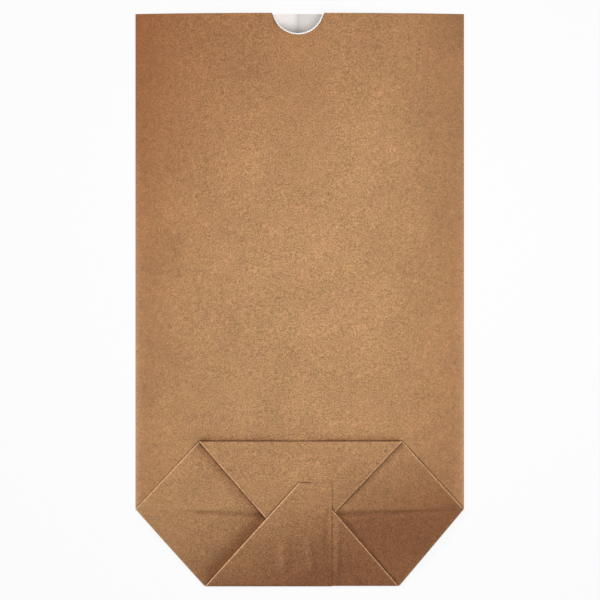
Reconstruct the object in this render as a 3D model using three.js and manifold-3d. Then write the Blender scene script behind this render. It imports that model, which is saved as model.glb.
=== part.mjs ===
// A flat brown paper lunch bag with a cross-folded base, lying on its back panel.
// One two-ply sheet, brown kraft outside and white inside, is rolled into a flat tube, glued along
// a seam up the back, and its lower end is opened, squashed and folded over twice into the base.
// X is the width, Y runs from the bottom crease up to the mouth and Z is the thickness.

import * as THREE from "three";
import { mergeVertices } from "three/addons/utils/BufferGeometryUtils.js";
import Module from "manifold-3d";

const wasm = await Module();
wasm.setup();

// Driving dimensions, in millimetres. Heights are measured from the bottom crease and shifts from
// the bag's centre line, to the right as seen from the front.
const BAG_WIDTH = 155;
const BAG_HEIGHT = 270;
const PAPER = 0.2; // both plies together
const KRAFT_PLY = 0.12; // the brown ply alone
const LAYER_GAP = 0.15; // air between two folded layers
const SEAM_BOND = 0.02; // how far the glued edges press into each other
const FOLD_LEG = 0.25; // flat part of a fold on each side of its round, inside the layers it joins
const FOLD_SKIN = 0.05; // how far the faces of a fold lie inside those of the layers it joins
const FOLD_LAP = 0.03; // how far a layer runs on past the start of a fold's round
const GRID = 1e-4; // spacing that corners are rounded to

const CROWN = 7; // how far the open mouth lifts the front panel
const CROWN_RUN = 130; // length over which the front panel climbs from the base
const CROWN_POWER = 2.5; // 2 is a parabola across the width, more is flatter in the middle

const CORNER_HEIGHT = 36.5; // where the side edges end and the base begins to taper
const BASE_HEIGHT = 68.5;
const TOP_CREASE_LENGTH = 95.8;
const TOP_CREASE_SHIFT = 0.5;
const BOTTOM_CREASE_LENGTH = 91.7;
const BOTTOM_CREASE_SHIFT = 1;
const UPPER_FLAP_REACH = 52.5;
const UPPER_TIP_SHIFT = -1.6;
const LOWER_FLAP_REACH = 49;
const LOWER_TIP_WIDTH = 5.2;
const LOWER_TIP_SHIFT = 1.9;

const SEAM_OVERLAP = 16.3;
const SEAM_SHIFT = 6.95; // middle of the overlap

const NOTCH_WIDTH = 24.5;
const NOTCH_DEPTH = 10.3;
const NOTCH_SHIFT = -0.8;
const NOTCH_RIM = 0.6; // how far the white ply shows past the brown one
const TOOTH_PITCH = 1.25;
const TOOTH_DEPTH = 0.35;

// Mesh fineness, as counts.
const FOLD_SEGMENTS = 6;
const PANEL_COLUMNS = 20;
const PANEL_ROWS = 14;

// Underside of each layer, from the table up. The right half of the back lies on the left half.
const layerStep = PAPER + LAYER_GAP;
const backLeft = 0;
const backRight = backLeft + PAPER - SEAM_BOND;
const front = backRight + layerStep;
const turned = front + layerStep;
const corner = turned + layerStep;
const upperHem = corner + layerStep;
const upperFlap = upperHem + layerStep;
const lowerHem = upperFlap + layerStep;
const lowerRight = lowerHem + layerStep;
const lowerLeft = lowerRight + PAPER - SEAM_BOND;

// Outer radius of the fold that joins two layers.
const foldRadius = (below, above) => (above + PAPER - below) / 2 - FOLD_SKIN;
const sideLeftRadius = foldRadius(backLeft, front);
const sideRightRadius = foldRadius(backRight, front);
const turnRadius = foldRadius(front, turned);
const shoulderRadius = foldRadius(turned, corner);
const cheekLeftRadius = foldRadius(backLeft, corner);
const cheekRightRadius = foldRadius(backRight, corner);
const topRadius = foldRadius(turned, upperFlap);
const bottomRadius = foldRadius(backLeft, lowerLeft);
const upperEdgeRadius = foldRadius(upperHem, upperFlap);
const lowerLeftEdgeRadius = foldRadius(lowerHem, lowerLeft);
const lowerRightEdgeRadius = foldRadius(lowerHem, lowerRight);

// The right halves of the back and of the lower flap end a little before the left ones they are
// glued to.
const innerBottomInset = bottomRadius + FOLD_LAP / 2;

// Named points of the fold pattern, as seen from the front.
const point = (x, y) => new THREE.Vector2(x, y);
const half = BAG_WIDTH / 2;
const cornerLeft = point(-half, CORNER_HEIGHT);
const cornerRight = point(half, CORNER_HEIGHT);
const topLeft = point(TOP_CREASE_SHIFT - TOP_CREASE_LENGTH / 2, BASE_HEIGHT);
const topRight = point(TOP_CREASE_SHIFT + TOP_CREASE_LENGTH / 2, BASE_HEIGHT);
const bottomLeft = point(BOTTOM_CREASE_SHIFT - BOTTOM_CREASE_LENGTH / 2, 0);
const bottomRight = point(BOTTOM_CREASE_SHIFT + BOTTOM_CREASE_LENGTH / 2, 0);
const upperTip = point(UPPER_TIP_SHIFT, BASE_HEIGHT - UPPER_FLAP_REACH);
const tipLeft = point(LOWER_TIP_SHIFT - LOWER_TIP_WIDTH / 2, LOWER_FLAP_REACH);
const tipRight = point(LOWER_TIP_SHIFT + LOWER_TIP_WIDTH / 2, LOWER_FLAP_REACH);
const seamInner = SEAM_SHIFT - SEAM_OVERLAP / 2;
const seamOuter = SEAM_SHIFT + SEAM_OVERLAP / 2;
const tabInner = Math.max(seamInner, tipLeft.x + 2 * lowerLeftEdgeRadius + FOLD_LEG);

// A closed geometry as a manifold-3d solid. Its corners are rounded to a fine grid, so that faces
// of two layers that lie in one plane do so exactly.
function solidOf(geometry) {
  const bare = geometry.clone();
  bare.deleteAttribute("normal");
  bare.deleteAttribute("uv");
  const corners = bare.getAttribute("position");
  corners.array.forEach((value, i) => {
    corners.array[i] = Math.round(value / GRID) * GRID;
  });
  const merged = mergeVertices(bare, GRID / 2);
  return new wasm.Manifold(
    new wasm.Mesh({
      numProp: 3,
      vertProperties: new Float32Array(merged.getAttribute("position").array),
      triVerts: new Uint32Array(merged.index.array),
    }),
  );
}

function extruded(shape, depth) {
  return new THREE.ExtrudeGeometry(shape, {
    depth,
    bevelEnabled: false,
    curveSegments: FOLD_SEGMENTS,
  });
}

// Moves each side of a counterclockwise outline inwards by its own inset.
function insetOutline(points, insets) {
  const count = points.length;
  const sides = points.map((start, i) => {
    const along = points[(i + 1) % count].clone().sub(start).normalize();
    const inward = point(-along.y, along.x);
    return { start: start.clone().addScaledVector(inward, insets[i]), along };
  });
  return sides.map((next, i) => {
    const last = sides[(i + count - 1) % count];
    const between = next.start.clone().sub(last.start);
    const reach = between.cross(next.along) / last.along.cross(next.along);
    return last.start.clone().addScaledVector(last.along, reach);
  });
}

// One flat layer of paper. It ends just past the start of the rounds of the folds around it.
function plate(points, insets, underside) {
  const outline = insetOutline(
    points,
    insets.map((inset) => (inset > 0 ? inset - FOLD_LAP : 0)),
  );
  const geometry = extruded(new THREE.Shape(outline), PAPER);
  return solidOf(geometry.translate(0, 0, underside));
}

// The round of a fold along a counterclockwise side of a layer, from the underside of the layer
// below to the top of the layer above. It is a hairpin section carried along the side, and it stops
// short of each corner by its own radius and leg, except at an end that is open.
function fold(from, to, below, above, open = {}) {
  const radius = foldRadius(below, above);
  const inner = radius - PAPER + 2 * FOLD_SKIN;
  const along = to.clone().sub(from).normalize();
  const pullBack = radius + FOLD_LEG;
  const start = from.clone().addScaledVector(along, open.start ? FOLD_SKIN : pullBack);
  const end = to.clone().addScaledVector(along, open.end ? -FOLD_SKIN : -pullBack);
  const hairpin = new THREE.Shape();
  hairpin.moveTo(-FOLD_LEG, -radius);
  hairpin.absarc(0, 0, radius, -Math.PI / 2, Math.PI / 2, false);
  hairpin.lineTo(-FOLD_LEG, radius);
  hairpin.lineTo(-FOLD_LEG, inner);
  hairpin.absarc(0, 0, inner, Math.PI / 2, -Math.PI / 2, true);
  hairpin.lineTo(-FOLD_LEG, -inner);
  const geometry = extruded(hairpin, start.distanceTo(end));
  const outward = new THREE.Vector3(along.y, -along.x, 0);
  const backwards = new THREE.Vector3(-along.x, -along.y, 0);
  const place = new THREE.Matrix4()
    .makeBasis(outward, new THREE.Vector3(0, 0, 1), backwards)
    .setPosition(end.x, end.y, (below + above + PAPER) / 2);
  return solidOf(geometry.applyMatrix4(place));
}

// How far the front panel stands above its folded edges, which are flat as far as a fold's legs.
function rise(x, y, left, right) {
  const across = Math.min(1, Math.abs((2 * x - left - right) / (right - left)));
  const along = THREE.MathUtils.smoothstep(y, BASE_HEIGHT, BASE_HEIGHT + CROWN_RUN);
  return CROWN * (1 - across ** CROWN_POWER) * along;
}

// A slab between two heights above the crowned surface of the front panel.
function crownedSlab(low, high) {
  const left = -half + sideLeftRadius + 2 * FOLD_LEG;
  const right = half - sideRightRadius - 2 * FOLD_LEG;
  const rows = [CORNER_HEIGHT + turnRadius - FOLD_LAP];
  for (let i = 0; i <= PANEL_ROWS; i += 1) {
    rows.push(THREE.MathUtils.lerp(BASE_HEIGHT, BAG_HEIGHT, i / PANEL_ROWS));
  }
  const columns = [-half + sideLeftRadius - FOLD_LAP];
  for (let i = 0; i <= PANEL_COLUMNS; i += 1) {
    columns.push(THREE.MathUtils.lerp(left, right, i / PANEL_COLUMNS));
  }
  columns.push(half - sideRightRadius + FOLD_LAP);
  const positions = [];
  for (const height of [low, high]) {
    for (const y of rows) {
      for (const x of columns) {
        positions.push(x, y, front + height + rise(x, y, left, right));
      }
    }
  }
  const across = columns.length;
  const layer = rows.length * across;
  const faces = [];
  const quad = (a, b, c, d) => faces.push(a, b, c, a, c, d);
  for (let j = 0; j + 1 < rows.length; j += 1) {
    for (let i = 0; i + 1 < across; i += 1) {
      const a = j * across + i;
      quad(a, a + across, a + across + 1, a + 1);
      quad(layer + a, layer + a + 1, layer + a + across + 1, layer + a + across);
    }
    const start = j * across;
    const end = start + across - 1;
    quad(start, layer + start, layer + start + across, start + across);
    quad(end, end + across, layer + end + across, layer + end);
  }
  for (let i = 0; i + 1 < across; i += 1) {
    const end = layer - across + i;
    quad(i, i + 1, layer + i + 1, layer + i);
    quad(end, layer + end, layer + end + 1, end + 1);
  }
  const geometry = new THREE.BufferGeometry();
  geometry.setAttribute("position", new THREE.Float32BufferAttribute(positions, 3));
  return solidOf(geometry.setIndex(faces));
}

// A prism through the front panel with the outline of the thumb notch: an arc with pinked teeth,
// closed above the mouth.
function notchPrism(width, depth) {
  const radius = (width * width) / (8 * depth) + depth / 2;
  const centreY = BAG_HEIGHT - depth + radius;
  const mouthAngle = Math.asin(Math.min(1, width / 2 / radius));
  const swept = depth < radius ? mouthAngle : Math.PI - mouthAngle;
  const teeth = Math.max(4, Math.round((2 * radius * swept) / TOOTH_PITCH));
  const outline = [];
  for (let i = 0; i <= 2 * teeth; i += 1) {
    const angle = swept * (i / teeth - 1);
    const reach = i % 2 ? radius : radius - TOOTH_DEPTH;
    outline.push(
      point(NOTCH_SHIFT + reach * Math.sin(angle), centreY - reach * Math.cos(angle)),
    );
  }
  const above = BAG_HEIGHT + depth;
  outline.push(point(outline.at(-1).x, above), point(outline[0].x, above));
  const aboveCrown = front + CROWN + 3 * PAPER;
  return solidOf(extruded(new THREE.Shape(outline), aboveCrown));
}

// The front panel, crowned, with the thumb notch cut further into the brown ply than the white.
function frontPanel() {
  const whitePly = PAPER - KRAFT_PLY;
  const brownCut = notchPrism(NOTCH_WIDTH, NOTCH_DEPTH);
  const whiteCut = notchPrism(NOTCH_WIDTH - 2 * NOTCH_RIM, NOTCH_DEPTH - NOTCH_RIM);
  const brownPly = crownedSlab(whitePly, 2 * PAPER);
  return crownedSlab(0, PAPER).subtract(brownCut.intersect(brownPly)).subtract(whiteCut);
}

// The back panel is two halves that overlap at the seam. The left one is outermost.
function backPanel() {
  const leftPoints = [
    cornerLeft,
    bottomLeft,
    point(seamOuter, 0),
    point(seamOuter, BAG_HEIGHT),
    point(-half, BAG_HEIGHT),
  ];
  const rightPoints = [
    point(seamInner, 0),
    bottomRight,
    cornerRight,
    point(half, BAG_HEIGHT),
    point(seamInner, BAG_HEIGHT),
  ];
  const leftInsets = [cheekLeftRadius, bottomRadius, 0, 0, sideLeftRadius];
  const rightInsets = [bottomRadius, cheekRightRadius, sideRightRadius, 0, 0];
  const left = insetOutline(leftPoints, leftInsets);
  const right = insetOutline(rightPoints, rightInsets);
  return [
    plate(leftPoints, leftInsets, backLeft),
    plate(rightPoints, [innerBottomInset, ...rightInsets.slice(1)], backRight),
    fold(left[4], left[0], backLeft, front, { start: true }),
    fold(right[2], right[3], backRight, front, { end: true }),
    fold(left[0], left[1], backLeft, corner),
    fold(right[1], right[2], backRight, corner),
    fold(left[1], left[2], backLeft, lowerLeft, { end: true }),
    fold(point(tabInner, right[0].y), right[1], backRight, lowerRight, { start: true }),
  ];
}

// The end of the front panel, turned up over itself at the height of the corners.
function turnedPanel() {
  const points = [cornerLeft, cornerRight, topRight, topLeft];
  const insets = [turnRadius, shoulderRadius, topRadius, shoulderRadius];
  const outline = insetOutline(points, insets);
  return [
    plate(points, insets, turned),
    fold(outline[0], outline[1], front, turned),
    fold(outline[1], outline[2], turned, corner),
    fold(outline[2], outline[3], turned, upperFlap),
    fold(outline[3], outline[0], turned, corner),
  ];
}

// The two squashed corners, which show as diamonds at the sides of the base.
function cornerLayers() {
  return [
    plate(
      [cornerLeft, bottomLeft, point(tipLeft.x, 0), point(tipLeft.x, BASE_HEIGHT), topLeft],
      [cheekLeftRadius, bottomRadius, 0, topRadius, shoulderRadius],
      corner,
    ),
    plate(
      [cornerRight, topRight, point(tipRight.x, BASE_HEIGHT), point(tipRight.x, 0), bottomRight],
      [shoulderRadius, topRadius, 0, bottomRadius, cheekRightRadius],
      corner,
    ),
  ];
}

// The upper flap, folded down from the top crease, with its corners turned under.
function upperFlapLayers() {
  const points = [topRight, topLeft, upperTip];
  const insets = [topRadius, upperEdgeRadius, upperEdgeRadius];
  const [right, left, tip] = insetOutline(points, insets);
  return [
    plate(points, insets, upperFlap),
    plate(points, insets, upperHem),
    fold(left, tip, upperHem, upperFlap),
    fold(tip, right, upperHem, upperFlap),
    fold(right, left, corner, upperHem),
  ];
}

// The lower flap, folded up from the bottom crease and glued over the upper one, with its corners
// turned under. The seam's free edge runs up it, so its left half keeps a straight-sided tab.
function lowerFlapLayers() {
  const leftPoints = [bottomLeft, point(seamOuter, 0), point(seamOuter, tipLeft.y), tipLeft];
  const rightPoints = [point(tabInner, 0), bottomRight, tipRight, point(tabInner, tipRight.y)];
  const hemPoints = [bottomLeft, bottomRight, tipRight, tipLeft];
  const hemInsets = [bottomRadius, lowerRightEdgeRadius, 0, lowerLeftEdgeRadius];
  const [left, right, rightEnd, leftEnd] = insetOutline(hemPoints, hemInsets);
  return [
    plate(leftPoints, [bottomRadius, 0, 0, lowerLeftEdgeRadius], lowerLeft),
    plate(rightPoints, [innerBottomInset, lowerRightEdgeRadius, 0, 0], lowerRight),
    plate(hemPoints, hemInsets, lowerHem),
    fold(leftEnd, left, lowerHem, lowerLeft),
    fold(right, rightEnd, lowerHem, lowerRight),
    fold(left, right, corner, lowerHem),
  ];
}

function paperBag() {
  const layers = [
    frontPanel(),
    ...backPanel(),
    ...turnedPanel(),
    ...cornerLayers(),
    ...upperFlapLayers(),
    ...lowerFlapLayers(),
  ];
  const whole = layers.reduce((joined, layer) => joined.add(layer));
  const { vertProperties, triVerts } = whole.getMesh();
  const geometry = new THREE.BufferGeometry();
  geometry.setAttribute("position", new THREE.BufferAttribute(vertProperties, 3));
  geometry.setIndex(new THREE.BufferAttribute(triVerts, 1));
  geometry.computeVertexNormals();
  const kraft = new THREE.MeshStandardMaterial({ color: 0xb58a61, roughness: 0.85, metalness: 0 });
  const mesh = new THREE.Mesh(geometry, kraft);
  mesh.name = "paper_bag";
  mesh.position.y = -BAG_HEIGHT / 2;
  return mesh;
}

const bag = new THREE.Group();
bag.name = "paper_lunch_bag";
bag.add(paperBag());

export default bag;
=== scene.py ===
import logging
import math
from dataclasses import dataclass, field
from enum import Enum
from typing import Any

import bpy
import numpy as np
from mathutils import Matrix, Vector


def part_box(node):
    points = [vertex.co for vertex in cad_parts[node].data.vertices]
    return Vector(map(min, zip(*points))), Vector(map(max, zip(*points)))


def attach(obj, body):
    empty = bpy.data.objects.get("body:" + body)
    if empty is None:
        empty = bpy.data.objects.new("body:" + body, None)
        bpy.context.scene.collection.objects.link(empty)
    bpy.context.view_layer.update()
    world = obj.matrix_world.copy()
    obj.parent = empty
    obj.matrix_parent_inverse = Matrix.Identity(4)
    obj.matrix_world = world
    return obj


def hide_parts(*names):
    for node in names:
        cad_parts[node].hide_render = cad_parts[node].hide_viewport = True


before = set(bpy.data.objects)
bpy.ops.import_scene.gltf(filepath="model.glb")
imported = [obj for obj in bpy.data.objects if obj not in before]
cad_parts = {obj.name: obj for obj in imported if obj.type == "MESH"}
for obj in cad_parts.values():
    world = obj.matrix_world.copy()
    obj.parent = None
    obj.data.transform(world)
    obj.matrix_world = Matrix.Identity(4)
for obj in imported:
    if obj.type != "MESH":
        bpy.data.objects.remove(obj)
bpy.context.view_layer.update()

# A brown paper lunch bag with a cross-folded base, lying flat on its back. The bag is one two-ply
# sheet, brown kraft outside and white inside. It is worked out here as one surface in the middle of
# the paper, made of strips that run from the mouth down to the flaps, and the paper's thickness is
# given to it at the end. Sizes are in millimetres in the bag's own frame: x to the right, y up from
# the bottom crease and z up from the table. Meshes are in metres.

LOG = logging.getLogger("paper_bag")
MM = 0.001
# More than floats lose when one place is worked out in two ways, in mm.
ROUNDING = 0.01
# Points are one where they agree to a ten-thousandth of a mm. The offset keeps round numbers away
# from where the rounding turns.
WELD_STEPS = 1e4
WELD_OFFSET = 0.37

Array = np.ndarray


class Side(Enum):
    """The two sides of the bag as seen from the front, with the sign of x on each."""

    LEFT = -1.0
    RIGHT = 1.0


def smoothstep(values: Array, low: float, high: float) -> Array:
    """Climbs smoothly from 0 at low to 1 at high: 3 times the square of t less twice its cube.

    Args:
        values: Where to work it out.
        low: The place of 0.
        high: The place of 1.

    Returns:
        The steps, in the shape of values.
    """
    t = np.clip((values - low) / (high - low), 0.0, 1.0)
    return t * t * (3.0 - 2.0 * t)


def blend(start: Array | float, end: Array | float, share: Array) -> Array:
    """Mixes two values: start where share is 0 and end where it is 1."""
    return start + (end - start) * share


def linear(hex_colour: str) -> tuple[float, float, float, float]:
    """Turns an sRGB hex colour into linear light: a power of 2.4, and a straight line near black.

    Args:
        hex_colour: Six hex digits after a hash.

    Returns:
        Red, green, blue and an alpha of 1.
    """
    parts = [int(hex_colour[i : i + 2], 16) / 255 for i in (1, 3, 5)]
    red, green, blue = (
        part / 12.92 if part <= 0.04045 else ((part + 0.055) / 1.055) ** 2.4 for part in parts
    )
    return red, green, blue, 1.0


def add_node(
    tree: bpy.types.NodeTree,
    kind: str,
    settings: dict[str, Any] | None = None,
    inputs: dict[str | int, Any] | None = None,
) -> bpy.types.Node:
    """Adds a node, sets it up and links what feeds it.

    Args:
        tree: The node tree.
        kind: Blender's name of the node type.
        settings: The node's own properties.
        inputs: A value or an output socket for each named or numbered input.

    Returns:
        The new node.
    """
    node = tree.nodes.new(kind)
    for name, value in (settings or {}).items():
        setattr(node, name, value)
    for name, value in (inputs or {}).items():
        if isinstance(value, bpy.types.NodeSocket):
            tree.links.new(value, node.inputs[name])
        else:
            node.inputs[name].default_value = value
    return node


@dataclass
class Layer:
    """One layer of a strip of the sheet. Each field holds a number, or one for each row.

    y and z are the place of its middle, in mm. The rest are shares from 0 to 1: lift says how much
    it takes of the base's swell, under how much of what bends only the layers below the flaps, and
    base is 1 on the base and 0 on the tube.
    """

    y: Array
    z: Array | float
    lift: Array | float
    under: Array | float
    base: Array | float

    def table(self) -> Array:
        """The fields side by side, by row and field."""
        fields = np.broadcast_arrays(self.y, self.z, self.lift, self.under, self.base)
        return np.stack(fields, axis=1)


# Places of a point's values in a patch: x, those of its layer, and the crease's wear and painted
# highlight there.
X, Y, Z, LIFT, UNDER, BASE, WEAR_AND_HIGHLIGHT = range(7)
# How strong a crease's wear and painted highlight are, and how far from it in mm they have fallen to
# about a third.
WEAR_AND_HIGHLIGHT_PEAK = 0.88
WEAR_AND_HIGHLIGHT_RUN = 0.2


def wear_and_highlight(distance: Array) -> Array:
    """Wear and painted highlight beside a crease: they fall off exponentially with the distance in mm.
    """
    return WEAR_AND_HIGHLIGHT_PEAK * np.exp(-np.abs(distance) / WEAR_AND_HIGHLIGHT_RUN)


def flat_columns(x: Array, table: Array, worn_and_lit: Array) -> Array:
    """Points of a layer between its folds.

    Args:
        x: Places across, by row and column.
        table: The layer's table.
        worn_and_lit: Wear and painted highlight, by row and column.

    Returns:
        Points, by row, column and value.
    """
    fields = np.broadcast_to(table[:, None, :], (*x.shape, table.shape[1]))
    return np.concatenate([x[..., None], fields, worn_and_lit[..., None]], axis=2)


@dataclass
class EdgeFold:
    """An edge of a strip, where the main layer folds round into the layer behind it.

    outermost is x of the fold's outermost line, reach is how far its round reaches across, and
    inner_end is x at which the layer behind ends. Each holds one number for each row, in mm.
    """

    side: Side
    outermost: Array
    reach: Array
    inner_end: Array

    def axis(self) -> Array:
        """Where the flat part of the strip ends and the round begins."""
        return self.outermost - self.side.value * self.reach

    def columns(self, main: Layer, behind: Layer, turns: Array, shares: Array) -> Array:
        """The round of the fold and the layer behind, from the main layer outwards.

        The round is half an ellipse from the main layer to the one behind it, and the layer
        behind runs straight to its inner end.

        Args:
            main: The main layer.
            behind: The layer behind.
            turns: Angles around the round, without its two ends.
            shares: Places along the layer behind, from 0 to 1.

        Returns:
            Points, by row, column and value.
        """
        axis = self.axis()[:, None]
        first, last = main.table(), behind.table()
        middle, half = (first + last) / 2, (first - last) / 2
        round_x = axis + self.side.value * self.reach[:, None] * np.sin(turns)
        round_table = middle[:, None, :] + half[:, None, :] * np.cos(turns)[None, :, None]
        # Wear and painted highlight on the fold's round.
        worn_and_lit = np.full((*round_x.shape, 1), WEAR_AND_HIGHLIGHT_PEAK)
        rounded = np.concatenate([round_x[..., None], round_table, worn_and_lit], axis=2)
        flat_x = blend(axis, self.inner_end[:, None], shares)
        flat = flat_columns(flat_x, last, wear_and_highlight(flat_x - axis))
        return np.concatenate([rounded, flat], axis=1)


@dataclass
class Patch:
    """A strip of the sheet's middle surface.

    points holds its points, by row, column and value. reverse says that its columns run the other
    way, so that its faces are turned round to point outwards. notch_shift says how far the notch
    moves each point across and up: two values for the brown ply and then two for the white one.
    """

    points: Array
    reverse: bool = False
    notch_shift: Array | None = None


@dataclass(frozen=True)
class FoldPattern:
    """The bag's outline and creases, in mm, as in the part's source.

    Only the crown is a little lower, so that the smooth sheet stays inside the part's box.
    """

    width: float = 155.0
    height: float = 270.0
    paper: float = 0.2
    corner_height: float = 36.5
    base_height: float = 68.5
    top_crease: tuple[float, float] = (-47.4, 48.4)
    bottom_crease: tuple[float, float] = (-44.85, 46.85)
    upper_tip: tuple[float, float] = (-1.6, 16.0)
    lower_tip: tuple[float, float] = (-0.7, 4.5)
    lower_reach: float = 49.0
    seam: tuple[float, float] = (-1.2, 15.1)
    tab_inner: float = 0.6
    crown: float = 6.95
    crown_power: float = 2.5
    crown_run: float = 130.0


@dataclass(frozen=True)
class Levels:
    """Height of the middle of each layer over the table in mm, and how much of the swell it takes."""

    back_left: float = 0.1
    back_right: float = 0.31
    front: float = 0.66
    turned: float = 1.01
    corner: float = 1.36
    upper_hem: float = 1.71
    upper_flap: float = 2.06
    lower_hem: float = 2.41
    lower_right: float = 2.76
    lower_left: float = 2.97
    # At the bottom crease, where no front panel lies between the layers.
    corner_low: float = 0.66
    lower_hem_low: float = 1.01
    lower_right_low: float = 1.36
    lower_left_low: float = 1.57
    # Shares of the swell.
    front_lift: float = 0.76
    turned_lift: float = 0.8
    corner_lift: float = 0.88
    upper_lift: float = 0.97
    lower_lift: float = 1.0


@dataclass(frozen=True)
class Notch:
    """The thumb notch in the front panel: an arc of a circle with pinked teeth, in mm."""

    width: float = 24.5
    depth: float = 10.3
    shift: float = -0.8
    rim: float = 0.6
    tooth_pitch: float = 1.25
    tooth_depth: float = 0.35

    def circle(self, width: float, depth: float) -> tuple[float, float]:
        """The circle of an arc of this width and depth.

        Args:
            width: Chord at the mouth.
            depth: Depth below the mouth.

        Returns:
            The radius, and the angle from the bottom of the arc to the mouth.
        """
        radius = width * width / (8 * depth) + depth / 2
        return radius, math.asin(min(1.0, width / 2 / radius))

    def teeth(self) -> int:
        """How many teeth the arc holds."""
        radius, swept = self.circle(self.width, self.depth)
        return round(2 * radius * swept / self.tooth_pitch)

    def edge(self, inset: float) -> tuple[Array, Array]:
        """The notch's edge: each tooth's root and point in turn, on the circle and inside it.

        Args:
            inset: How far the whole edge lies inside the brown ply's edge.

        Returns:
            x, and the distance below the mouth.
        """
        radius, swept = self.circle(self.width - 2 * inset, self.depth - inset)
        count = 2 * self.teeth() + 1
        angles = np.linspace(-swept, swept, count)
        reach = radius - self.tooth_depth * (np.arange(count) % 2 == 0)
        reach[[0, -1]] = radius
        below = self.depth - inset - radius + reach * np.cos(angles)
        return self.shift + reach * np.sin(angles), np.maximum(below, 0.0)


@dataclass(frozen=True)
class Bend:
    """A ridge, or with a height below 0 a valley, along a straight line. Sizes are in mm."""

    start: tuple[float, float]
    end: tuple[float, float]
    height: float
    width: float

    def relief(self, x: Array, y: Array) -> Array:
        """Height of the bend: a bell over the distance to the line, e to minus its square.

        Args:
            x: Places across the bag.
            y: Places up the bag.

        Returns:
            Heights in mm.
        """
        along_x, along_y = self.end[0] - self.start[0], self.end[1] - self.start[1]
        off_x, off_y = x - self.start[0], y - self.start[1]
        length = along_x**2 + along_y**2
        share = np.clip((off_x * along_x + off_y * along_y) / length, 0.0, 1.0)
        distance = np.hypot(off_x - share * along_x, off_y - share * along_y)
        return self.height * np.exp(-((distance / self.width) ** 2))


@dataclass(frozen=True)
class Slope:
    """A smooth climb across the bag, from one value to another over a span in mm."""

    direction: tuple[float, float]
    span: tuple[float, float]
    values: tuple[float, float]

    def at(self, x: Array, y: Array) -> Array:
        """The climb's values: a smooth step over the span, along the direction."""
        along = self.direction[0] * x + self.direction[1] * y
        return blend(*self.values, smoothstep(along, *self.span))


# On the flaps: the long ones on the lower flap, and a short one beside the top crease's left end.
WRINKLES = (
    Bend((13.6, 34.0), (12.6, 18.0), -0.7, 1.3),
    Bend((18.0, 30.0), (17.0, 8.0), 0.8, 1.3),
    Bend((3.0, 22.0), (5.4, 8.0), 0.7, 1.6),
    Bend((-3.6, 20.0), (-2.0, 9.0), -0.6, 1.5),
    Bend((-9.0, 18.0), (-8.0, 8.0), 0.5, 1.6),
    Bend((-40.0, 67.5), (-39.2, 61.5), 0.5, 1.4),
)

# Under the flaps: soft valleys beside their left edges, tight ones beside their right edges, one
# along the top crease in the front panel, and one along the middle of each corner.
VALLEYS = (
    Bend((-45.0, 66.0), (-16.5, 34.0), -1.25, 3.8),
    Bend((-17.5, 31.0), (-40.0, 5.5), -1.3, 4.0),
    Bend((46.0, 66.0), (17.5, 36.5), -0.3, 2.2),
    Bend((18.0, 34.5), (44.0, 3.5), -0.35, 2.4),
    Bend((-44.0, 68.5), (58.0, 68.5), -0.7, 4.0),
    Bend((-48.4, 34.7), (-19.3, 33.4), -0.7, 1.0),
    Bend((17.7, 33.8), (71.8, 35.6), -0.65, 1.0),
)


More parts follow.
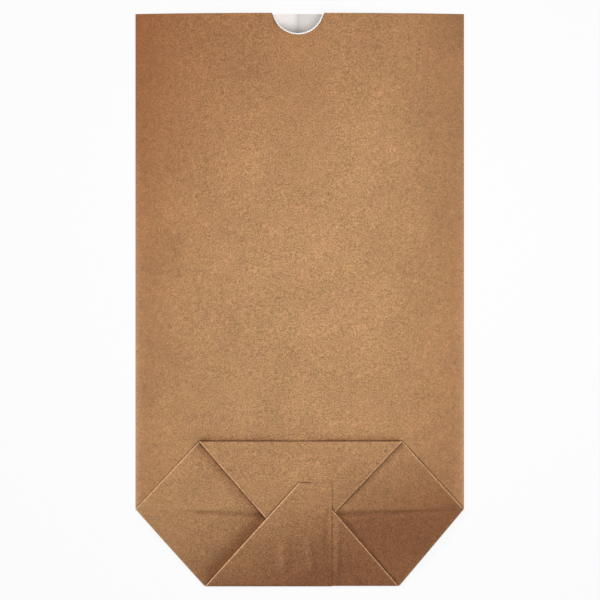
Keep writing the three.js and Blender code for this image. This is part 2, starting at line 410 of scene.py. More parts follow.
@dataclass
class PaperBag:
    """The whole bag, as one folded sheet. Lengths are in mm, and the looks are shares of 1."""

    pattern: FoldPattern = field(default_factory=FoldPattern)
    levels: Levels = field(default_factory=Levels)
    notch: Notch = field(default_factory=Notch)
    wrinkles: tuple[Bend, ...] = WRINKLES
    valleys: tuple[Bend, ...] = VALLEYS
    # The base's swell: its height, its crest, its end on the tube, and its powers left and right.
    swell_height: float = 4.3
    swell_centre: tuple[float, float] = (-16.0, 45.0)
    swell_end: float = 98.0
    swell_powers: tuple[float, float] = (4.0, 1.8)
    # The ridge along the corners' crease: its height, and its runs above and below the crease.
    ridge_height: float = 0.85
    ridge_runs: tuple[float, float] = (9.0, 2.8)
    # The height at which the bends are whole, and how much of the swell they may take away.
    bend_start: float = 12.0
    bend_limit: float = 0.65
    # Painted shade on the tube, growing from its lower right to its upper left and at its side edges.
    falloff_shade: Slope = Slope((-0.5, 0.6), (82.0, 215.0), (0.0, 0.55))
    edge_falloff_shade: float = 0.3
    edge_power: float = 3.0
    # Painted shade as a deeper brown: on the tube, on the base, and in steps below the middle of the
    # corners.
    tube_shade: Slope = Slope((0.2, -1.0), (-110.0, 0.0), (0.0, 0.34))
    base_shade: Slope = Slope((0.4, -0.9), (-52.0, 4.0), (0.2, 1.0))
    corner_shade: Slope = Slope((1.0, 0.0), (-20.0, 40.0), (0.07, 0.17))
    corner_shade_step: tuple[float, float] = (1.6, 2.6)
    # Painted shade in the base's valleys, for each mm of their depth.
    valley_shade: float = 0.35
    # Painted shadow in the front panel beside the top crease, its run, and its fade at the crease's
    # ends.
    crease_shadow: float = 0.95
    crease_shadow_run: float = 1.7
    crease_shadow_fade: float = 3.0
    # How much of the speckle is lost at the side edges.
    grain_fall: float = 0.5
    # Painted highlight on the wrinkles' crests, and wear with a painted highlight on the side
    # creases near the base and on the slanting outline.
    crest_highlight: float = 0.13
    crest_highlight_power: float = 3.0
    side_wear_and_highlight: float = 0.5
    side_wear_and_highlight_run: float = 1.6
    cheek_wear_and_highlight: float = 0.35
    # Painted shade on the inside where it lies on the seam, and how far the painted shadow beside the
    # seam's edge reaches.
    seam_shade: float = 0.7
    seam_shadow_run: float = 0.9
    # Half the gap between the left and right hidden layers, and how blunt the upper flap's tip is.
    middle_gap: float = 0.4
    tip_cut: float = 3.0
    # Where the tab steps down to the upper flap: the step's width, and the air below before the swell.
    tab_step: float = 1.6
    tab_gap: float = 0.04
    # How fast the columns below the notch turn even again, and the angle of a sharp edge in degrees.
    notch_fade: float = 4.0
    sharp_angle: float = 50.0
    # Rows and columns of the strips. Base rows are closer near the tube, by a power.
    side_columns: int = 40
    back_columns: int = 44
    corner_columns: int = 40
    round_steps: int = 6
    tube_spans: tuple[tuple[float, int], ...] = ((80.0, 34), (71.5, 7), (66.0, 16), (0.0, 20))
    turned_rows: int = 29
    base_rows: int = 31
    flap_rows: int = 36
    crease_rows: int = 9
    row_power: float = 1.35

    def build(self) -> bpy.types.Object:
        """Builds the bag's mesh.

        Returns:
            The bag, in the frame of the CAD part.
        """
        patches = [self.tube(), self.turn(), self.upper(), *map(self.lower, Side)]
        return self.thicken(patches)

    def turns(self) -> Array:
        """Angles around a side fold, from the main layer to the one behind, without its ends."""
        return np.linspace(0.0, math.pi, self.round_steps + 1)[1:-1]

    @staticmethod
    def closing(count: int, power: float = 1.25) -> Array:
        """Steps from 0 to 1 that are closer near 0: even ones to a power."""
        return np.linspace(0.0, 1.0, count) ** power

    def weld_height(self) -> float:
        """The height at which the tube's strip meets those of the base."""
        return self.pattern.corner_height + self.pattern.paper / 2 + self.turn_radius()

    def turn_radius(self) -> float:
        """Radius of the fold that turns the front panel up over itself."""
        return (self.levels.turned - self.levels.front) / 2

    def side_reach(self, side: Side) -> float:
        """Radius of a side crease."""
        back = self.levels.back_left if side is Side.LEFT else self.levels.back_right
        return (self.levels.front - back) / 2

    def side_axis(self, side: Side) -> float:
        """x at which a side crease's round begins."""
        outermost = (self.pattern.width - self.pattern.paper) / 2
        return side.value * (outermost - self.side_reach(side))

    def seam_end(self, side: Side) -> float:
        """x of the free edge of the left or the right half of the back."""
        return self.pattern.seam[1] if side is Side.LEFT else self.pattern.seam[0]

    def layer_end(self, side: Side) -> float:
        """x at which the hidden layers of the base end, beside the bag's middle."""
        return self.pattern.upper_tip[0] + self.middle_gap * side.value

    def main_columns(self) -> Array:
        """x of the front panel's columns: one for each point of the notch's edge, others beside it."""
        left, right = (self.side_axis(side) for side in Side)
        notch_x, _ = self.notch.edge(0.0)
        steps = self.closing(self.side_columns + 1)[:-1]
        before = blend(left, notch_x[0], steps)
        after = blend(right, notch_x[-1], steps)[::-1]
        under = np.linspace(notch_x[0], notch_x[-1], len(notch_x))
        return np.concatenate([before, under, after])

    def main_shares(self) -> Array:
        """The columns of the front panel as shares of the way from the left fold to the right one."""
        x = self.main_columns()
        return (x - x[0]) / (x[-1] - x[0])

    def slant(
        self, side: Side, y: Array, start: tuple[float, float], end: tuple[float, float], reach: float
    ) -> EdgeFold:
        """A fold along a slanting line.

        Its outermost line goes straight from start to end, half a paper inwards, and its reach
        across is the radius divided by the sine of the line's slope.

        Args:
            side: The side of the bag.
            y: Height of each row.
            start: Outer point at one end of the line.
            end: Outer point at its other end.
            reach: Radius of the fold.

        Returns:
            The fold, whose layer behind ends beside the bag's middle.
        """
        (x0, y0), (x1, y1) = start, end
        stretch = math.hypot(x1 - x0, y1 - y0) / abs(y1 - y0)
        outermost = x0 + (x1 - x0) * (y - y0) / (y1 - y0)
        outermost = outermost - side.value * self.pattern.paper / 2 * stretch
        return EdgeFold(
            side, outermost, np.full_like(y, reach * stretch), np.full_like(y, self.layer_end(side))
        )

    def joined(self, folds: list[EdgeFold], crease: int) -> EdgeFold:
        """Joins the folds of two flat parts of a strip over the rows of the crease between them.

        Args:
            folds: The fold before the crease and the one after it.
            crease: How many rows lie between their last and first rows.

        Returns:
            One fold with all the rows.
        """
        before, after = folds
        share = np.linspace(0.0, 1.0, crease + 2)[1:-1]

        def rows(name: str) -> Array:
            """One field's rows, with straight steps over the crease."""
            first, last = getattr(before, name), getattr(after, name)
            return np.concatenate([first, blend(first[-1], last[0], share), last])

        return EdgeFold(before.side, rows("outermost"), rows("reach"), rows("inner_end"))

    def meet_tube(self, fold: EdgeFold) -> EdgeFold:
        """Makes the first row of a base fold start where the tube's side crease does."""
        reach = self.side_reach(fold.side)
        fold.reach[0] = reach
        fold.outermost[0] = self.side_axis(fold.side) + fold.side.value * reach
        return fold

    def rise(self, x: Array, y: Array) -> Array:
        """How far the front panel stands above its folded sides.

        Across, it is 1 less the distance from the middle to a power. Along, it is a smooth step
        up from the base.

        Args:
            x: Places across.
            y: Places up.

        Returns:
            Heights in mm.
        """
        left, right = (self.side_axis(side) for side in Side)
        across = np.minimum(1.0, np.abs((2 * x - left - right) / (right - left)))
        start = self.pattern.base_height
        along = smoothstep(y, start, start + self.pattern.crown_run)
        return self.pattern.crown * (1 - across**self.pattern.crown_power) * along

    def tube_heights(self) -> Array:
        """y of the tube's rows, from the mouth down to the base, in spans of even steps."""
        rows, start = [], self.pattern.height
        for end, count in self.tube_spans:
            end = max(end, self.weld_height())
            rows.append(np.linspace(start, end, count, endpoint=False))
            start = end
        return np.append(np.concatenate(rows), start)

    def tube(self) -> Patch:
        """The tube, from the mouth down to the base: the front panel, its folds and the back.

        Returns:
            The patch. The notch moves only the front panel's points: each column is stretched
            from the notch's edge to the base, and the slide to the teeth fades out below the mouth.
        """
        low, high = self.weld_height(), self.pattern.height
        y = self.tube_heights()
        share = (high - y) / (high - low)
        x = np.broadcast_to(self.main_columns(), (len(y), len(self.main_columns())))
        main = Layer(y, self.levels.front, self.levels.front_lift, 1.0, 0.0)
        from_side = np.minimum(x - x[0, 0], x[0, -1] - x)
        # Wear and painted highlight along the side creases, fading towards the mouth.
        near_base = self.side_wear_and_highlight * (1 - smoothstep(y, self.pattern.base_height, high))
        worn_and_lit = near_base[:, None] * np.exp(-from_side / self.side_wear_and_highlight_run)
        flat = flat_columns(x, main.table(), worn_and_lit)
        parts = []
        for side in Side:
            back = self.levels.back_left if side is Side.LEFT else self.levels.back_right
            reach = np.full_like(y, self.side_reach(side))
            outermost = self.side_axis(side) + side.value * reach
            fold = EdgeFold(side, outermost, reach, np.full_like(y, self.seam_end(side)))
            behind = Layer(y, back, 0.0, 0.0, 0.0)
            columns = fold.columns(main, behind, self.turns(), self.closing(self.back_columns))
            columns[..., WEAR_AND_HIGHLIGHT] *= near_base[:, None]
            parts.append(columns)
        points = np.concatenate([parts[0][:, ::-1], flat, parts[1]], axis=1)
        first = parts[0].shape[1]
        front = np.s_[:, first : first + x.shape[1]]
        at_notch = np.s_[self.side_columns : -self.side_columns]
        below_mouth = ((high - low) * share)[:, None]
        shifts = np.zeros((*points.shape[:2], 4))
        for number, inset in enumerate((0.0, self.notch.rim)):
            notch_x, below = self.notch.edge(inset)
            slide, depth = np.zeros((2, x.shape[1]))
            slide[at_notch] = notch_x - self.main_columns()[at_notch]
            depth[at_notch] = below
            shifts[front][..., 2 * number] = slide * np.exp(-below_mouth / self.notch_fade)
            shifts[front][..., 2 * number + 1] = -depth * (1.0 - share)[:, None]
        return Patch(points, notch_shift=shifts)

    def turn(self) -> Patch:
        """The half turn of the front panel over the height of the corners.

        Returns:
            The patch: half a circle from the front panel's level to the turned one's.
        """
        levels = self.levels
        turn = np.linspace(0.0, 1.0, self.crease_rows)
        y = self.weld_height() - self.turn_radius() * np.sin(math.pi * turn)
        z = blend(levels.front, levels.turned, (1 - np.cos(math.pi * turn)) / 2)
        layer = Layer(y, z, blend(levels.front_lift, levels.turned_lift, turn), 1.0, turn)
        x = np.broadcast_to(self.main_columns(), (len(y), len(self.main_columns())))
        return Patch(flat_columns(x, layer.table(), np.zeros(x.shape)))

    def turned_rows_of(self, before: Array, after: Array) -> tuple[Array, Array]:
        """Rows of a strip that runs straight, turns over at a crease and runs straight again.

        Args:
            before: y of the rows up to the crease's axis.
            after: y of the rows from the axis on.

        Returns:
            y of the rows as if the crease had no radius, and how far each has turned, 0 to 1.
        """
        over = np.linspace(0.0, 1.0, self.crease_rows + 2)[1:-1]
        y = np.concatenate([before, np.full(len(over), before[-1]), after])
        turned = np.concatenate([np.zeros(len(before)), over, np.ones(len(after))])
        return y, turned

    def upper(self) -> Patch:
        """The turned panel, the top crease and the upper flap, with the corners' upper halves.

        Returns:
            The patch, whose columns run from the left layer behind over the main layer to the
            right one. The crease is two half circles about one axis.
        """
        pattern, levels = self.pattern, self.levels
        outer = (levels.upper_flap - levels.turned) / 2
        inner = (levels.upper_hem - levels.corner) / 2
        axis = pattern.base_height - pattern.paper / 2 - outer
        up = blend(self.weld_height(), axis, self.closing(self.turned_rows, self.row_power))
        down = np.linspace(axis, pattern.upper_tip[1] + self.tip_cut, self.flap_rows)
        y, turned = self.turned_rows_of(up, down)
        round_y, round_z = np.sin(math.pi * turned), (1 - np.cos(math.pi * turned)) / 2
        main = Layer(
            y + outer * round_y,
            blend(levels.turned, levels.upper_flap, round_z),
            blend(levels.turned_lift, levels.upper_lift, turned),
            1 - turned,
            1.0,
        )
        behind = Layer(
            y + inner * round_y,
            blend(levels.corner, levels.upper_hem, round_z),
            blend(levels.corner_lift, levels.upper_lift, turned),
            1 - turned,
            1.0,
        )
        folds = []
        for side, crease_x in zip(Side, pattern.top_crease):
            corner = (side.value * pattern.width / 2, pattern.corner_height)
            crease = (crease_x, pattern.base_height)
            shoulder = self.slant(side, up, corner, crease, (levels.corner - levels.turned) / 2)
            edge = self.slant(
                side, down, crease, pattern.upper_tip, (levels.upper_flap - levels.upper_hem) / 2
            )
            folds.append(self.joined([self.meet_tube(shoulder), edge], self.crease_rows))
        left, right = (fold.axis()[:, None] for fold in folds)
        x = blend(left, right, self.main_shares())
        worn_and_lit = np.maximum(wear_and_highlight(x - left), wear_and_highlight(right - x))
        flat = flat_columns(x, main.table(), worn_and_lit)
        shares = self.closing(self.corner_columns)
        sides = [fold.columns(main, behind, self.turns(), shares) for fold in folds]
        return Patch(np.concatenate([sides[0][:, ::-1], flat, sides[1]], axis=1))

    def lower(self, side: Side) -> Patch:
        """One half of the back below the tube, the bottom crease and the lower flap.

        The layers sink from the corners' height to the bottom crease, where fewer of them lie on
        each other. The crease is two half circles. Where the left half's tab reaches past the
        flap's right edge, it lies down on the upper flap.

        Args:
            side: The half of the back.

        Returns:
            The patch.
        """
        pattern, levels = self.pattern, self.levels
        left = side is Side.LEFT
        number = 0 if left else 1
        back = levels.back_left if left else levels.back_right
        flap_low = levels.lower_left_low if left else levels.lower_right_low
        flap_high = levels.lower_left if left else levels.lower_right
        axis = pattern.paper / 2 + (levels.lower_left_low - levels.back_left) / 2
        outer = (flap_low - back) / 2
        inner = (levels.lower_hem_low - levels.corner_low) / 2
        down = blend(self.weld_height(), axis, self.closing(self.base_rows, self.row_power))
        up = np.linspace(axis, pattern.lower_reach, self.flap_rows)
        y, turned = self.turned_rows_of(down, up)
        round_y, round_z = np.sin(math.pi * turned), (1 - np.cos(math.pi * turned)) / 2
        sink = 1 - smoothstep(y, axis, pattern.corner_height)
        main = Layer(
            y - outer * round_y,
            blend(back, blend(flap_high, flap_low, sink), round_z),
            levels.lower_lift * turned,
            0.0,
            turned,
        )
        corner_z = blend(levels.corner, levels.corner_low, sink)
        hem_z = blend(levels.lower_hem, levels.lower_hem_low, sink)
        behind = Layer(
            y - inner * round_y,
            blend(corner_z, hem_z, round_z),
            blend(levels.corner_lift, levels.lower_lift, turned),
            1 - turned,
            1.0,
        )
        corner = (side.value * pattern.width / 2, pattern.corner_height)
        bottom = (pattern.bottom_crease[number], 0.0)
        tip = (pattern.lower_tip[number], pattern.lower_reach)
        cheek = self.slant(side, down, corner, bottom, (levels.corner_low - back) / 2)
        edge = self.slant(side, up, bottom, tip, (flap_high - levels.lower_hem) / 2)
        tip_middle = sum(pattern.lower_tip) / 2 + self.middle_gap * side.value
        edge.inner_end = blend(self.layer_end(side), tip_middle, (up - axis) / (up[-1] - axis))
        fold = self.joined([self.meet_tube(cheek), edge], self.crease_rows)
        tab_end = pattern.seam[1] if left else pattern.tab_inner
        free = blend(self.seam_end(side), tab_end, turned)[:, None]
        x = blend(fold.axis()[:, None], free, self.closing(self.back_columns))
        worn_and_lit = turned[:, None] * wear_and_highlight(x - fold.axis()[:, None])
        flat = flat_columns(x, main.table(), worn_and_lit)
        if left:
            self.lay_tab(flat)
        shares = self.closing(self.corner_columns)
        beside = fold.columns(main, behind, self.turns(), shares)
        # Wear and painted highlight along the slanting outline, weaker on the cheeks.
        beside[..., WEAR_AND_HIGHLIGHT] *= blend(self.cheek_wear_and_highlight, 1.0, turned)[:, None]
        return Patch(np.concatenate([beside[:, ::-1], flat], axis=1), reverse=left)

    def lay_tab(self, flat: Array) -> None:
        """Lays what reaches past the lower flap's right edge down on the upper flap.

        Args:
            flat: Points of the left half's flat part, which are changed.
        """
        pattern, levels = self.pattern, self.levels
        (x0, y0), (x1, y1) = (pattern.bottom_crease[1], 0.0), (pattern.lower_tip[1], pattern.lower_reach)
        edge = x0 + (x1 - x0) * (flat[..., Y] - y0) / (y1 - y0)
        laid = smoothstep(flat[..., X] - edge, 0.0, self.tab_step) * (flat[..., BASE] == 1)
        drop = levels.lower_left - levels.upper_flap - pattern.paper - self.tab_gap
        flat[..., Z] -= drop * laid
        flat[..., LIFT] = blend(flat[..., LIFT], levels.upper_lift, laid)

    def swell(self, x: Array, y: Array) -> Array:
        """How far the base's uppermost layer is raised from its height in the flat base.

        Along y it is 1 less the square of the distance from the centre towards the bottom crease,
        and a smooth step down towards the tube. Across it is 1 less a power of the distance from
        the centre to the side edge: a low power on the right, where the base slopes away evenly,
        and a high one on the left, where it stays up. The wrinkles are added to it.

        Args:
            x: Places across.
            y: Places up.

        Returns:
            Heights in mm.
        """
        centre_x, centre_y = self.swell_centre
        half = self.pattern.width / 2
        away = np.abs(x - centre_x) / (half + np.where(x < centre_x, centre_x, -centre_x))
        across = 1 - np.minimum(away, 1.0) ** np.where(x < centre_x, *self.swell_powers)
        below = 1 - np.clip(1 - y / centre_y, 0.0, 1.0) ** 2
        along = np.where(y < centre_y, below, 1 - smoothstep(y, centre_y, self.swell_end))
        return self.swell_height * across * along + sum(bend.relief(x, y) for bend in self.wrinkles)

    def under_bends(self, x: Array, y: Array) -> Array:
        """What bends only the layers below the flaps.

        These are the valleys, and a ridge along the corners' crease that falls off exponentially
        with the distance, faster below it than above. All fade out towards the outline: across by
        1 less the fourth power of the distance, and evenly down to the bottom crease.

        Args:
            x: Places across.
            y: Places up.

        Returns:
            Heights in mm.
        """
        from_crease = y - self.pattern.corner_height
        run = np.where(from_crease > 0, *self.ridge_runs)
        ridge = self.ridge_height * np.exp(-np.abs(from_crease) / run)
        bends = ridge + sum(valley.relief(x, y) for valley in self.valleys)
        half = self.pattern.width / 2
        inside = 1 - np.minimum(np.abs(x) / half, 1.0) ** 4
        return bends * inside * np.clip(y / self.bend_start, 0.0, 1.0)

    def looks(self, points: Array) -> dict[str, Array]:
        """What the papers' materials need to know at each point, as shares from 0 to 1.

        Args:
            points: Points of the sheet by value, before it is bent.

        Returns:
            wear_and_highlight: how rubbed a crease is, with a painted highlight on it, and a painted
                highlight on the crest of a wrinkle.
            painted_shade: painted shade, as a deeper brown. The base gets deeper towards its lower
                right and in its valleys, and steps deeper below the middle of the corners. The front
                panel gets deeper towards the base, and has a painted shadow in its crease above it.
            falloff_shade: painted shade on the tube, which grows towards its upper left and its side
                edges.
            grain: how strong the speckle is, which falls off towards the side edges.
            seam_shade: painted shade where the inside lies on the glued seam, with a painted shadow at
                the seam's edge.
        """
        pattern = self.pattern
        x, y, base = points[:, X], points[:, Y], points[:, BASE]
        front = points[:, Z] > (self.levels.back_right + self.levels.front) / 2
        # Painted shadow in the front panel along the top crease, over the painted shade of the tube.
        within = smoothstep(pattern.top_crease[1] - np.abs(x), 0.0, self.crease_shadow_fade) * front
        crease = self.crease_shadow * np.exp(-np.abs(y - pattern.base_height) / self.crease_shadow_run) * within
        tube = np.maximum(self.tube_shade.at(x, y), crease)
        # Painted shade on the base: deeper towards its lower right, below the middle of the corners and
        # in the valleys.
        below = smoothstep(pattern.corner_height - y, *self.corner_shade_step)
        valleys = -sum(valley.relief(x, y) for valley in self.valleys)
        corner = self.corner_shade.at(x, y) * below + self.valley_shade * valleys
        base_shade_total = self.base_shade.at(x, y) + corner * points[:, UNDER]
        across = np.abs(2 * x / pattern.width) ** self.edge_power
        # Painted highlight on the crests of the wrinkles.
        ridges = [bend for bend in self.wrinkles if bend.height > 0]
        crest_highlights = sum((bend.relief(x, y) / bend.height) ** self.crest_highlight_power for bend in ridges)
        on_flaps = points[:, LIFT] > self.levels.corner_lift
        # Painted shade on the inside over the seam, with a painted shadow at the seam's edge.
        seam_start, seam_end = pattern.seam
        on_seam = (x > seam_start - ROUNDING) & (x < seam_end) & ~front
        edge = np.exp(-np.abs(x - seam_start) / self.seam_shadow_run)
        return {
            "wear_and_highlight": np.maximum(points[:, WEAR_AND_HIGHLIGHT], self.crest_highlight * crest_highlights * on_flaps),
            "painted_shade": blend(tube, np.minimum(base_shade_total, 1.0), base),
            # Painted shade on the tube, towards its upper left and its side edges.
            "falloff_shade": (self.falloff_shade.at(x, y) + self.edge_falloff_shade * across) * (1 - base),
            "grain": 1 - self.grain_fall * across,
            "seam_shade": on_seam * blend(self.seam_shade, 1.0, edge),
        }

    def thicken(self, patches: list[Patch]) -> bpy.types.Object:
        """Welds the patches and gives the sheet its thickness.

        Points of the patches that lie at one place are one. The outer and inner faces lie half a
        paper to each side along the sheet's normals, and a strip joins them along every free edge.
        The first material is the outside's, the second the inside's and the third that of the cut
        edge at the mouth and the notch. The flaps' free edges are pressed down and stay brown.

        Args:
            patches: The sheet's patches.

        Returns:
            The bag.
        """
        flat, outside, inside, faces, start = [], [], [], [], 0
        for patch in patches:
            rows, columns, _ = patch.points.shape
            index = start + np.arange(rows * columns).reshape(rows, columns)
            quads = np.stack(
                [index[:-1, :-1], index[1:, :-1], index[1:, 1:], index[:-1, 1:]], axis=-1
            ).reshape(-1, 4)
            faces.append(quads[:, ::-1] if patch.reverse else quads)
            flat.append(patch.points.reshape(rows * columns, -1))
            for number, moved in enumerate((outside, inside)):
                moved.append(self.bent(patch, number).reshape(-1, 3))
            start += rows * columns
        whole = np.concatenate(flat)
        _, first_of, same = np.unique(
            np.round(whole[:, : Z + 1] * WELD_STEPS + WELD_OFFSET).astype(np.int64),
            axis=0,
            return_index=True,
            return_inverse=True,
        )
        kept = whole[first_of]
        outer = np.concatenate(outside)[first_of]
        inner = np.concatenate(inside)[first_of]
        quads = same.reshape(-1)[np.concatenate(faces)]
        normals = self.normals((outer + inner) / 2, quads)
        outer = outer + normals * self.pattern.paper / 2
        inner = inner - normals * self.pattern.paper / 2
        count = len(outer)
        free = self.free_edges(quads, count)
        rims = np.stack([free[:, 1], free[:, 0], free[:, 0] + count, free[:, 1] + count], axis=1)
        vertices = np.concatenate([outer, inner])
        polygons = np.concatenate([quads, quads[:, ::-1] + count, rims])
        at_mouth = kept[free[:, 0], Y] > self.pattern.base_height
        plies = np.concatenate([np.zeros(len(quads)), np.ones(len(quads)), 2 * at_mouth])
        bag = self.mesh_object(vertices, polygons, plies)
        for name, values in self.looks(kept).items():
            attribute = bag.data.attributes.new(name, "FLOAT", "POINT")
            attribute.data.foreach_set("value", np.tile(values, 2).astype(np.float32))
        return bag

    @staticmethod
    def free_edges(quads: Array, count: int) -> Array:
        """Edges that only one face has, in the order in which that face runs.

        Args:
            quads: Four vertices for each face.
            count: How many vertices there are.

        Returns:
            Two vertices for each edge.
        """
        edges = np.stack([quads, np.roll(quads, -1, axis=1)], axis=-1).reshape(-1, 2)
        keys = edges.min(axis=1) * count + edges.max(axis=1)
        _, position, times = np.unique(keys, return_index=True, return_counts=True)
        LOG.info("edges shared by more than two faces: %d", int((times > 2).sum()))
        return edges[position[times == 1]]

    def bent(self, patch: Patch, number: int) -> Array:
        """Places of a patch's points once the crown, the swell and the bends are there.

        The bends take no more than a share of the swell away. Near the bag's middle, layers of the
        base still reach up to about 0.2 mm into each other.

        Args:
            patch: The patch.
            number: 0 for the brown ply's notch and 1 for the white ply's.

        Returns:
            x, y and z, by row and column.
        """
        moved = patch.points[..., : Z + 1].copy()
        if patch.notch_shift is not None:
            moved[..., :Z] += patch.notch_shift[..., 2 * number : 2 * number + 2]
            first = self.round_steps - 1 + self.back_columns
            front = moved[:, first:-first]
            front[..., Z] += self.rise(front[..., X], front[..., Y])
        x, y = moved[..., X], moved[..., Y]
        lifted = self.swell(x, y)
        bends = np.maximum(self.under_bends(x, y), -self.bend_limit * lifted)
        moved[..., Z] += patch.points[..., LIFT] * lifted + patch.points[..., UNDER] * bends
        return moved

    @staticmethod
    def normals(points: Array, quads: Array) -> Array:
        """Normals of a surface's vertices: the sum of the cross products of their faces' diagonals.

        Args:
            points: The vertices.
            quads: Four vertices for each face.

        Returns:
            One unit normal for each vertex.
        """
        a, b, c, d = (points[quads[:, i]] for i in range(4))
        area = np.cross(c - a, d - b)
        total = np.zeros_like(points)
        for i in range(4):
            np.add.at(total, quads[:, i], area)
        length = np.linalg.norm(total, axis=1, keepdims=True)
        return total / np.maximum(length, 1e-12)

    def mesh_object(self, vertices: Array, polygons: Array, plies: Array) -> bpy.types.Object:
        """Puts the sheet into a Blender mesh, in metres and in the CAD part's frame.

        Args:
            vertices: Points in mm, from the bottom crease and the table.
            polygons: Four vertices for each face.
            plies: Material number of each face.

        Returns:
            The bag.
        """
        low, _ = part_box("paper_bag")
        place = np.array([0.0, low.y, low.z])
        mesh = bpy.data.meshes.new("folded_sheet")
        mesh.from_pydata((vertices * MM + place).tolist(), [], polygons.tolist())
        mesh.polygons.foreach_set("material_index", plies.astype(np.int32))
        mesh.shade_smooth()
        mesh.set_sharp_from_angle(angle=math.radians(self.sharp_angle))
        mesh.validate()
        bag = bpy.data.objects.new("folded_sheet", mesh)
        bpy.context.scene.collection.objects.link(bag)
        return bag


@dataclass(frozen=True)
class Span:
    """Values from low to high, which become those from first to last."""

    low: float
    high: float
    first: float = 0.0
    last: float = 1.0

    def spread(self, tree: bpy.types.NodeTree, values: bpy.types.NodeSocket) -> bpy.types.NodeSocket:
        """Stretches values evenly, and holds those outside the span at its ends.

        Args:
            tree: The material's node tree.
            values: The values.

        Returns:
            The stretched values.
        """
        inputs = {
            "Value": values,
            "From Min": self.low,
            "From Max": self.high,
            "To Min": self.first,
            "To Max": self.last,
        }
        return add_node(tree, "ShaderNodeMapRange", inputs=inputs).outputs["Result"]


@dataclass(frozen=True)
class Grain:
    """A noise pattern in the paper, with grains of about this size in metres."""

    size: float
    span: Span
    detail: float = 2.0
    roughness: float = 0.5

    def noise(self, tree: bpy.types.NodeTree, place: bpy.types.NodeSocket) -> bpy.types.NodeSocket:
        """The plain noise, from 0 to 1.

        Args:
            tree: The material's node tree.
            place: Where the pattern is read, in metres.

        Returns:
            The noise.
        """
        inputs = {
            "Vector": place,
            "Scale": 1 / self.size,
            "Detail": self.detail,
            "Roughness": self.roughness,
        }
        return add_node(tree, "ShaderNodeTexNoise", inputs=inputs).outputs["Fac"]

    def pattern(self, tree: bpy.types.NodeTree, place: bpy.types.NodeSocket) -> bpy.types.NodeSocket:
        """The noise once it is stretched over its span."""
        return self.span.spread(tree, self.noise(tree, place))


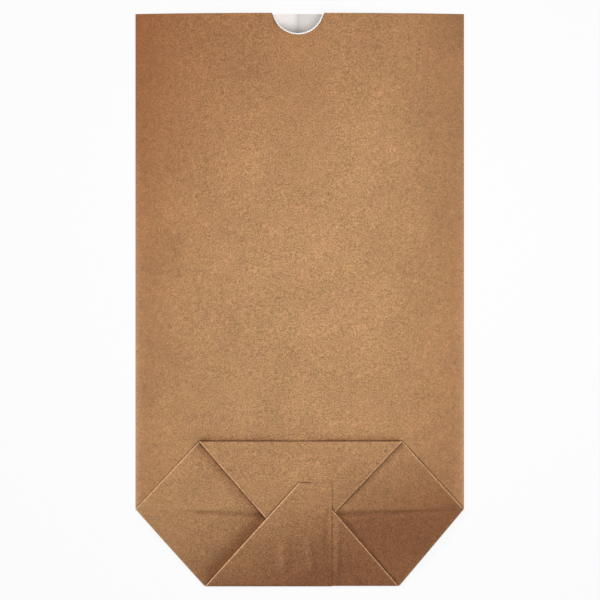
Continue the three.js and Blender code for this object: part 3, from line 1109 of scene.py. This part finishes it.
@dataclass(frozen=True)
class KraftPaper:
    """Unbleached kraft paper, machine finished: brown and matt.

    Short fibres give it a fine speckle of light and dark, drawn coarser than they are so that they
    show, and gather in flocs. The web of the sheet gives soft clouds, warmer and cooler in turn,
    and wider mottles, lighter and darker. Specks of bark lie here and there. The creases are
    lighter, rubbed and with a painted highlight, and the narrow gaps beside the folds get a painted
    shadow. The tube and the base get painted shade, as a duller and a deeper brown. Sizes are in
    metres.
    """

    base: str = "#bb8f62"
    rosy: str = "#bd8e64"
    # Painted shade: the duller brown of the tube and the deeper brown of the base.
    falloff_shade: str = "#905129"
    shade_brown: str = "#8d5d3b"
    # Lighter brown of the creases: wear with a painted highlight.
    worn_and_lit: str = "#dfae82"
    speck: str = "#7a5230"
    # Painted shadow in the narrow gaps beside the folds.
    gap_shadow: str = "#351a0a"
    fibres: Grain = Grain(0.0007, Span(0.2, 0.8, 0.35, 1.65), roughness=0.6)
    flocs: Grain = Grain(0.0024, Span(0.2, 0.8, 0.6, 1.4))
    clouds: Grain = Grain(0.009, Span(0.42, 0.68), detail=3.0)
    mottles: Grain = Grain(0.024, Span(0.3, 0.7, 0.75, 1.25), detail=3.0)
    specks: Grain = Grain(0.0017, Span(0.78, 0.82), detail=1.0)
    # How strongly each pattern colours the paper.
    fibre_share: float = 0.88
    floc_share: float = 0.3
    mottle_share: float = 0.3
    # Painted shadow: a gap is where the paper is shut in within this reach, and it is darkest at the
    # span's end.
    gap_shadow_reach: float = 0.0015
    gap_shadow_span: Span = Span(0.86, 0.52)
    gap_shadow_samples: int = 8
    roughness: float = 0.82
    specular: float = 0.3
    bump: float = 0.35
    bump_depth: float = 0.00006

    def material(self) -> bpy.types.Material:
        """Makes the material.

        Returns:
            The material, on Object coordinates and the mesh's own attributes.
        """
        material = bpy.data.materials.new("kraft_paper")
        material.use_nodes = True
        tree = material.node_tree
        shader = tree.nodes["Principled BSDF"]
        shader.inputs["Roughness"].default_value = self.roughness
        shader.inputs["Specular IOR Level"].default_value = self.specular
        place = add_node(tree, "ShaderNodeTexCoord").outputs["Object"]

        def mix(share: Any, first: Any, second: Any, kind: str = "MIX") -> bpy.types.NodeSocket:
            """Mixes two colours."""
            settings = {"data_type": "RGBA", "blend_type": kind}
            return add_node(tree, "ShaderNodeMix", settings, {0: share, 6: first, 7: second}).outputs[2]

        def attribute(name: str) -> bpy.types.NodeSocket:
            """A number that the mesh holds for each point."""
            return add_node(tree, "ShaderNodeAttribute", {"attribute_name": name}).outputs["Fac"]

        tint = mix(self.clouds.pattern(tree, place), linear(self.base), linear(self.rosy))
        # Painted shade: the tube duller towards its upper left and its side edges.
        falloff_shaded = mix(attribute("falloff_shade"), tint, linear(self.falloff_shade))
        # Painted shade as a deeper brown on the base and the tube, with a painted shadow in the top
        # crease.
        shade_mixed = mix(attribute("painted_shade"), falloff_shaded, linear(self.shade_brown))
        # Crease wear with a painted highlight, and a painted highlight on the wrinkles' crests.
        rubbed_and_lit = mix(attribute("wear_and_highlight"), shade_mixed, linear(self.worn_and_lit))
        strength = {0: attribute("grain"), 1: self.fibre_share}
        share = add_node(tree, "ShaderNodeMath", {"operation": "MULTIPLY"}, strength).outputs[0]
        fibres = self.fibres.noise(tree, place)
        grained = mix(share, rubbed_and_lit, self.fibres.span.spread(tree, fibres), "MULTIPLY")
        flocked = mix(self.floc_share, grained, self.flocs.pattern(tree, place), "MULTIPLY")
        mottled = mix(self.mottle_share, flocked, self.mottles.pattern(tree, place), "MULTIPLY")
        speckled = mix(self.specks.pattern(tree, place), mottled, linear(self.speck))
        # Painted shadow: darker where the paper is shut in, by ambient occlusion.
        samples, reach = {"samples": self.gap_shadow_samples}, {"Distance": self.gap_shadow_reach}
        openness = add_node(tree, "ShaderNodeAmbientOcclusion", samples, reach).outputs["AO"]
        colour = mix(self.gap_shadow_span.spread(tree, openness), speckled, linear(self.gap_shadow))
        tree.links.new(colour, shader.inputs["Base Color"])
        relief = {"Strength": self.bump, "Distance": self.bump_depth, "Height": fibres}
        bump = add_node(tree, "ShaderNodeBump", inputs=relief)
        tree.links.new(bump.outputs["Normal"], shader.inputs["Normal"])
        return material


@dataclass(frozen=True)
class WhitePly:
    """Bleached paper, uncoated: white and matt, with painted shade where it lies on the glued seam."""

    name: str = "white_ply"
    colour: str = "#f9f2ee"
    # Painted shade over the seam.
    seam_shade: str = "#d8d3ce"
    roughness: float = 0.7

    def material(self) -> bpy.types.Material:
        """Makes the material.

        Returns:
            The material, whose painted shade follows the mesh's own attribute.
        """
        material = bpy.data.materials.new(self.name)
        material.use_nodes = True
        tree = material.node_tree
        shader = tree.nodes["Principled BSDF"]
        seam_shade = add_node(tree, "ShaderNodeAttribute", {"attribute_name": "seam_shade"})
        inputs = {0: seam_shade.outputs["Fac"], 6: linear(self.colour), 7: linear(self.seam_shade)}
        colour = add_node(tree, "ShaderNodeMix", {"data_type": "RGBA"}, inputs)
        tree.links.new(colour.outputs[2], shader.inputs["Base Color"])
        shader.inputs["Roughness"].default_value = self.roughness
        return material


@dataclass(frozen=True)
class Softbox:
    """A square soft lamp turned to the middle of the bag. Lengths are in metres, power in watts."""

    name: str
    place: tuple[float, float, float]
    size: float
    power: float

    def build(self) -> None:
        """Makes the lamp."""
        data = bpy.data.lights.new(self.name, "AREA")
        data.shape = "SQUARE"
        data.size = self.size
        data.energy = self.power
        lamp = bpy.data.objects.new(self.name, data)
        lamp.location = self.place
        lamp.rotation_euler = (-lamp.location).to_track_quat("-Z", "Y").to_euler()
        lamp.visible_camera = False
        bpy.context.scene.collection.objects.link(lamp)


@dataclass(frozen=True)
class Studio:
    """The white table, the soft lights and the camera straight above. Lengths are in metres."""

    view_width: float = 0.2832
    view_centre: tuple[float, float] = (0.00014, 0.0001)
    camera_height: float = 1.5
    lamps: tuple[Softbox, ...] = (
        Softbox("overhead", (0.075, 0.03, 0.34), 0.2, 0.625),
        Softbox("upper_left", (-2.1, 0.9, 1.15), 0.6, 33.5),
    )
    fill: float = 0.3
    # The table: half its side, how far it lies below the bag, its grey, and its glow to the camera.
    table_half: float = 3.0
    table_gap: float = 0.0001
    table_grey: float = 0.9
    table_glow: float = 0.88
    sensor_width: float = 36.0

    def build(self) -> None:
        """Makes the floor, the lights, the world and the camera."""
        self.floor()
        for lamp in self.lamps:
            lamp.build()
        self.world()
        self.camera()

    def floor(self) -> None:
        """A white table top under the bag, which glows only where the camera or a mirror sees it."""
        mesh = bpy.data.meshes.new("table_top")
        half = self.table_half
        low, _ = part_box("paper_bag")
        corners = [(-half, -half), (half, -half), (half, half), (-half, half)]
        mesh.from_pydata([(x, y, low.z - self.table_gap) for x, y in corners], [], [(0, 1, 2, 3)])
        table = bpy.data.objects.new("table_top", mesh)
        bpy.context.scene.collection.objects.link(table)
        material = bpy.data.materials.new("white_table")
        material.use_nodes = True
        tree = material.node_tree
        path = add_node(tree, "ShaderNodeLightPath")
        seen = path.outputs["Is Camera Ray"]
        for name in ("Is Glossy Ray", "Is Transmission Ray"):
            either = {0: seen, 1: path.outputs[name]}
            seen = add_node(tree, "ShaderNodeMath", {"operation": "MAXIMUM"}, either).outputs[0]
        strength = {0: seen, 1: self.table_glow}
        share = add_node(tree, "ShaderNodeMath", {"operation": "MULTIPLY"}, strength).outputs[0]
        grey = (self.table_grey, self.table_grey, self.table_grey, 1.0)
        diffuse = add_node(tree, "ShaderNodeBsdfDiffuse", inputs={"Color": grey})
        glow = add_node(tree, "ShaderNodeEmission", inputs={"Strength": 1.0})
        both = {0: share, 1: diffuse.outputs[0], 2: glow.outputs[0]}
        mix = add_node(tree, "ShaderNodeMixShader", inputs=both)
        tree.links.new(mix.outputs[0], tree.nodes["Material Output"].inputs["Surface"])
        tree.nodes.remove(tree.nodes["Principled BSDF"])
        mesh.materials.append(material)

    def world(self) -> None:
        """An even white surround."""
        world = bpy.data.worlds.new("surround")
        world.use_nodes = True
        background = world.node_tree.nodes["Background"]
        background.inputs["Color"].default_value = (1.0, 1.0, 1.0, 1.0)
        background.inputs["Strength"].default_value = self.fill
        bpy.context.scene.world = world

    def camera(self) -> None:
        """A long lens straight above."""
        data = bpy.data.cameras.new("camera")
        data.sensor_width = self.sensor_width
        data.lens = data.sensor_width / 2 / (self.view_width / 2 / self.camera_height)
        camera = bpy.data.objects.new("camera", data)
        camera.location = (*self.view_centre, self.camera_height)
        bpy.context.scene.collection.objects.link(camera)
        bpy.context.scene.camera = camera


def write_sizes() -> None:
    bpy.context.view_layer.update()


def main() -> None:
    """Builds the bag, dresses it, and sets up the studio around it."""
    logging.basicConfig(level=logging.INFO)
    bag = PaperBag().build()
    bag.data.materials.append(KraftPaper().material())
    bag.data.materials.append(WhitePly().material())
    bag.data.materials.append(WhitePly("cut_edge", "#ffffff", "#ffffff").material())
    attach(bag, "root")
    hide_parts("paper_bag")
    LOG.info("paper bag: %d faces", len(bag.data.polygons))
    Studio().build()
    LOG.info("studio")
    bpy.context.scene.view_settings.view_transform = "Standard"
    write_sizes()


if __name__ == "__main__":
    main()
